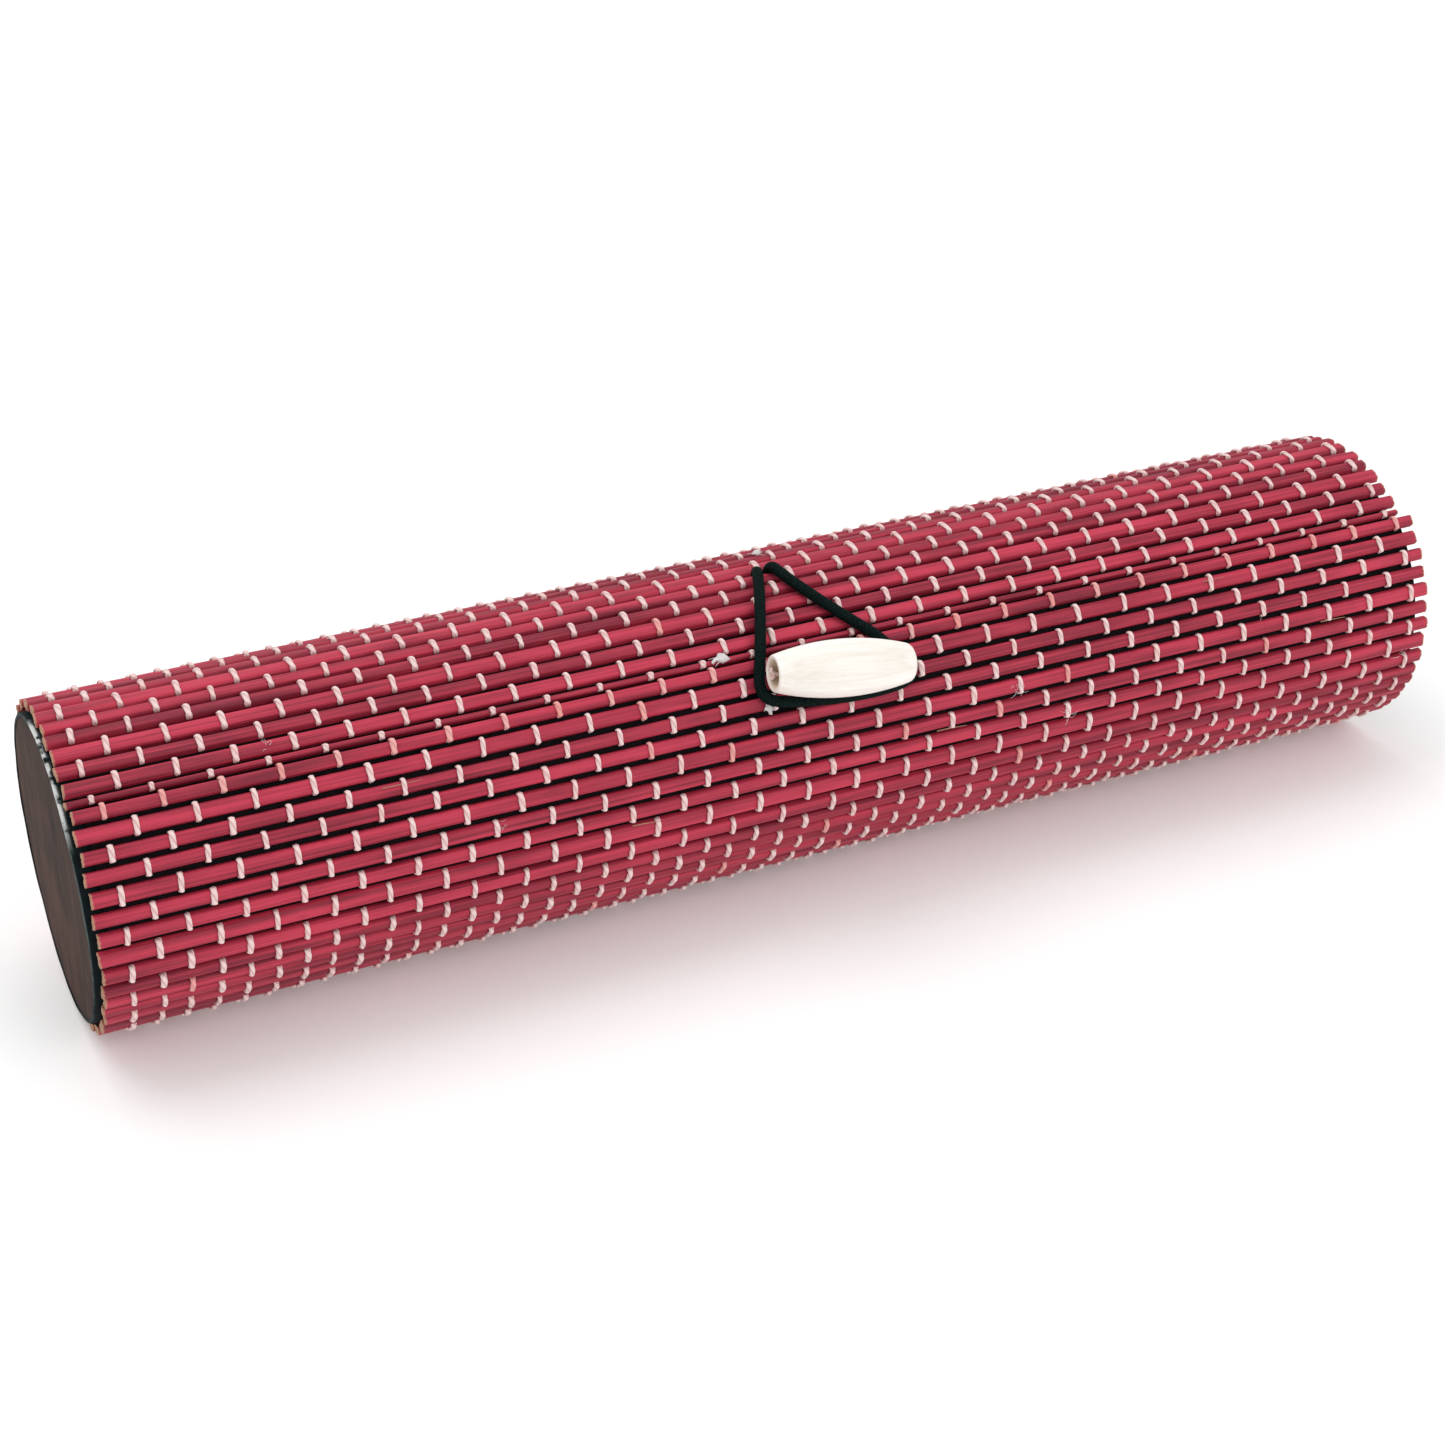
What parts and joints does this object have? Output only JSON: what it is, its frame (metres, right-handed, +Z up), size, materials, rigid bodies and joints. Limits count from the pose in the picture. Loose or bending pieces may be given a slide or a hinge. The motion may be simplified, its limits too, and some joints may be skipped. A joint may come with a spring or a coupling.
{
  "type": "slatted bamboo roll case",
  "caption": "Cylindrical case of a woven bamboo slat mat round two end discs, with a flap that unrolls and closes with an elastic loop over a wooden bead.",
  "frame": {"origin": "on the resting surface, under the case's axis and half way along the lower mat", "axes": "+X along the case towards its right end, -Y towards the closure, +Z up"},
  "size_m": [0.2719, 0.0645, 0.0623],
  "materials": {
    "dyed_bamboo": "satin",
    "lining_cloth": "matte",
    "brown_board": "matte",
    "rim_cloth": "matte",
    "seat_tape": "matte",
    "bead_wood": "satin",
    "cotton_thread": "matte",
    "elastic_cord": "matte"
  },
  "bodies": {
    "case": {"closing_edge_slat": "dyed_bamboo", "front_slats_upper": "dyed_bamboo", "front_slats_lower": "dyed_bamboo", "base_slats": "dyed_bamboo", "back_slats": "dyed_bamboo", "lining_front": "lining_cloth", "lining_base": "lining_cloth", "lining_back": "lining_cloth", "end_disc_left": "brown_board", "rim_cloth_left": "rim_cloth", "seat_tape_left": "seat_tape", "end_disc_right": "brown_board", "rim_cloth_right": "rim_cloth", "seat_tape_right": "seat_tape", "bead_tie": "cotton_thread"},
    "flap_link_01": {"flap_slat_01": "dyed_bamboo", "flap_lining_01": "lining_cloth"},
    "flap_link_02": {"flap_slat_02": "dyed_bamboo", "flap_lining_02": "lining_cloth"},
    "flap_link_03": {"flap_slat_03": "dyed_bamboo", "flap_lining_03": "lining_cloth"},
    "flap_link_04": {"flap_slat_04": "dyed_bamboo", "flap_lining_04": "lining_cloth"},
    "flap_link_05": {"flap_slat_05": "dyed_bamboo", "flap_lining_05": "lining_cloth"},
    "flap_link_06": {"flap_slat_06": "dyed_bamboo", "flap_lining_06": "lining_cloth"},
    "flap_link_07": {"flap_slat_07": "dyed_bamboo", "flap_lining_07": "lining_cloth"},
    "flap_link_08": {"flap_slat_08": "dyed_bamboo", "flap_lining_08": "lining_cloth"},
    "flap_link_09": {"flap_slat_09": "dyed_bamboo", "flap_lining_09": "lining_cloth"},
    "flap_link_10": {"flap_slat_10": "dyed_bamboo", "flap_lining_10": "lining_cloth"},
    "flap_link_11": {"flap_slat_11": "dyed_bamboo", "flap_lining_11": "lining_cloth"},
    "flap_link_12": {"flap_slat_12": "dyed_bamboo", "flap_lining_12": "lining_cloth"},
    "flap_link_13": {"flap_slat_13": "dyed_bamboo", "flap_lining_13": "lining_cloth"},
    "flap_link_14": {"flap_slat_14": "dyed_bamboo", "flap_lining_14": "lining_cloth", "loop_knot": "elastic_cord"},
    "flap_link_15": {"flap_slat_15": "dyed_bamboo", "flap_lining_15": "lining_cloth"},
    "flap_link_16": {"flap_slat_16": "dyed_bamboo", "flap_lining_16": "lining_cloth"},
    "flap_link_17": {"flap_slat_17": "dyed_bamboo", "flap_lining_17": "lining_cloth"},
    "flap_link_18": {"flap_slat_18": "dyed_bamboo", "flap_lining_18": "lining_cloth"},
    "flap_link_19": {"flap_slat_19": "dyed_bamboo", "flap_lining_19": "lining_cloth"},
    "toggle": {"toggle_bead": "bead_wood", "bead_thread": "cotton_thread", "bead_tie_knot": "cotton_thread"},
    "loop": {"loop_cord": "elastic_cord"}
  },
  "joints": [
    {"name": "flap_hinge_01", "type": "hinge", "parent": "case", "child": "flap_link_01", "pos_m": [0, 0.02827, 0.03123], "axis": [-1, 0, 0], "range_deg": [0, 12]},
    {"name": "flap_hinge_02", "type": "hinge", "parent": "flap_link_01", "child": "flap_link_02", "pos_m": [0, 0.02793, 0.03456], "axis": [-1, 0, 0], "range_deg": [0, 12]},
    {"name": "flap_hinge_03", "type": "hinge", "parent": "flap_link_02", "child": "flap_link_03", "pos_m": [0, 0.0272, 0.03782], "axis": [-1, 0, 0], "range_deg": [0, 12]},
    {"name": "flap_hinge_04", "type": "hinge", "parent": "flap_link_03", "child": "flap_link_04", "pos_m": [0, 0.02609, 0.04097], "axis": [-1, 0, 0], "range_deg": [0, 12]},
    {"name": "flap_hinge_05", "type": "hinge", "parent": "flap_link_04", "child": "flap_link_05", "pos_m": [0, 0.02461, 0.04397], "axis": [-1, 0, 0], "range_deg": [0, 12]},
    {"name": "flap_hinge_06", "type": "hinge", "parent": "flap_link_05", "child": "flap_link_06", "pos_m": [0, 0.02279, 0.04677], "axis": [-1, 0, 0], "range_deg": [0, 12]},
    {"name": "flap_hinge_07", "type": "hinge", "parent": "flap_link_06", "child": "flap_link_07", "pos_m": [0, 0.02066, 0.04934], "axis": [-1, 0, 0], "range_deg": [0, 12]},
    {"name": "flap_hinge_08", "type": "hinge", "parent": "flap_link_07", "child": "flap_link_08", "pos_m": [0, 0.01823, 0.05165], "axis": [-1, 0, 0], "range_deg": [0, 12]},
    {"name": "flap_hinge_09", "type": "hinge", "parent": "flap_link_08", "child": "flap_link_09", "pos_m": [0, 0.01555, 0.05364], "axis": [-1, 0, 0], "range_deg": [0, 12]},
    {"name": "flap_hinge_10", "type": "hinge", "parent": "flap_link_09", "child": "flap_link_10", "pos_m": [0, 0.01266, 0.05531], "axis": [-1, 0, 0], "range_deg": [0, 12]},
    {"name": "flap_hinge_11", "type": "hinge", "parent": "flap_link_10", "child": "flap_link_11", "pos_m": [0, 0.00958, 0.05663], "axis": [-1, 0, 0], "range_deg": [0, 12]},
    {"name": "flap_hinge_12", "type": "hinge", "parent": "flap_link_11", "child": "flap_link_12", "pos_m": [0, 0.00638, 0.05757], "axis": [-1, 0, 0], "range_deg": [0, 12]},
    {"name": "flap_hinge_13", "type": "hinge", "parent": "flap_link_12", "child": "flap_link_13", "pos_m": [0, 0.00308, 0.05813], "axis": [-1, 0, 0], "range_deg": [0, 12]},
    {"name": "flap_hinge_14", "type": "hinge", "parent": "flap_link_13", "child": "flap_link_14", "pos_m": [0, -0.00136, 0.05827], "axis": [-1, 0, 0], "range_deg": [0, 12]},
    {"name": "flap_hinge_15", "type": "hinge", "parent": "flap_link_14", "child": "flap_link_15", "pos_m": [0, -0.00468, 0.05791], "axis": [-1, 0, 0], "range_deg": [0, 12]},
    {"name": "flap_hinge_16", "type": "hinge", "parent": "flap_link_15", "child": "flap_link_16", "pos_m": [0, -0.00794, 0.05716], "axis": [-1, 0, 0], "range_deg": [0, 12]},
    {"name": "flap_hinge_17", "type": "hinge", "parent": "flap_link_16", "child": "flap_link_17", "pos_m": [0, -0.01136, 0.05592], "axis": [-1, 0, 0], "range_deg": [0, 12]},
    {"name": "flap_hinge_18", "type": "hinge", "parent": "flap_link_17", "child": "flap_link_18", "pos_m": [0, -0.01434, 0.0544], "axis": [-1, 0, 0], "range_deg": [0, 12]},
    {"name": "flap_hinge_19", "type": "hinge", "parent": "flap_link_18", "child": "flap_link_19", "pos_m": [0, -0.01712, 0.05254], "axis": [-1, 0, 0], "range_deg": [0, 12]},
    {"name": "loop_lift", "type": "hinge", "parent": "flap_link_14", "child": "loop", "pos_m": [0, -0.00149, 0.06101], "axis": [-1, 0, 0], "range_deg": [0, 60], "deforming": ["loop_cord"]},
    {"name": "bead_turn", "type": "hinge", "parent": "case", "child": "toggle", "pos_m": [0.0021, -0.02904, 0.05228], "axis": [0, -0.7934, 0.6088], "range_deg": [-60, 60]}
  ],
  "couplings": [
    {"joint": "flap_hinge_01", "follows": "flap_hinge_14", "ratio": 1},
    {"joint": "flap_hinge_02", "follows": "flap_hinge_14", "ratio": 1},
    {"joint": "flap_hinge_03", "follows": "flap_hinge_14", "ratio": 1},
    {"joint": "flap_hinge_04", "follows": "flap_hinge_14", "ratio": 1},
    {"joint": "flap_hinge_05", "follows": "flap_hinge_14", "ratio": 1},
    {"joint": "flap_hinge_06", "follows": "flap_hinge_14", "ratio": 1},
    {"joint": "flap_hinge_07", "follows": "flap_hinge_14", "ratio": 1},
    {"joint": "flap_hinge_08", "follows": "flap_hinge_14", "ratio": 1},
    {"joint": "flap_hinge_09", "follows": "flap_hinge_14", "ratio": 1},
    {"joint": "flap_hinge_10", "follows": "flap_hinge_14", "ratio": 1},
    {"joint": "flap_hinge_11", "follows": "flap_hinge_14", "ratio": 1},
    {"joint": "flap_hinge_12", "follows": "flap_hinge_14", "ratio": 1},
    {"joint": "flap_hinge_13", "follows": "flap_hinge_14", "ratio": 1},
    {"joint": "flap_hinge_15", "follows": "flap_hinge_14", "ratio": 1},
    {"joint": "flap_hinge_16", "follows": "flap_hinge_14", "ratio": 1},
    {"joint": "flap_hinge_17", "follows": "flap_hinge_14", "ratio": 1},
    {"joint": "flap_hinge_18", "follows": "flap_hinge_14", "ratio": 1},
    {"joint": "flap_hinge_19", "follows": "flap_hinge_14", "ratio": 1},
    {"joint": "loop_lift", "follows": "flap_hinge_14", "ratio": 5}
  ]
}
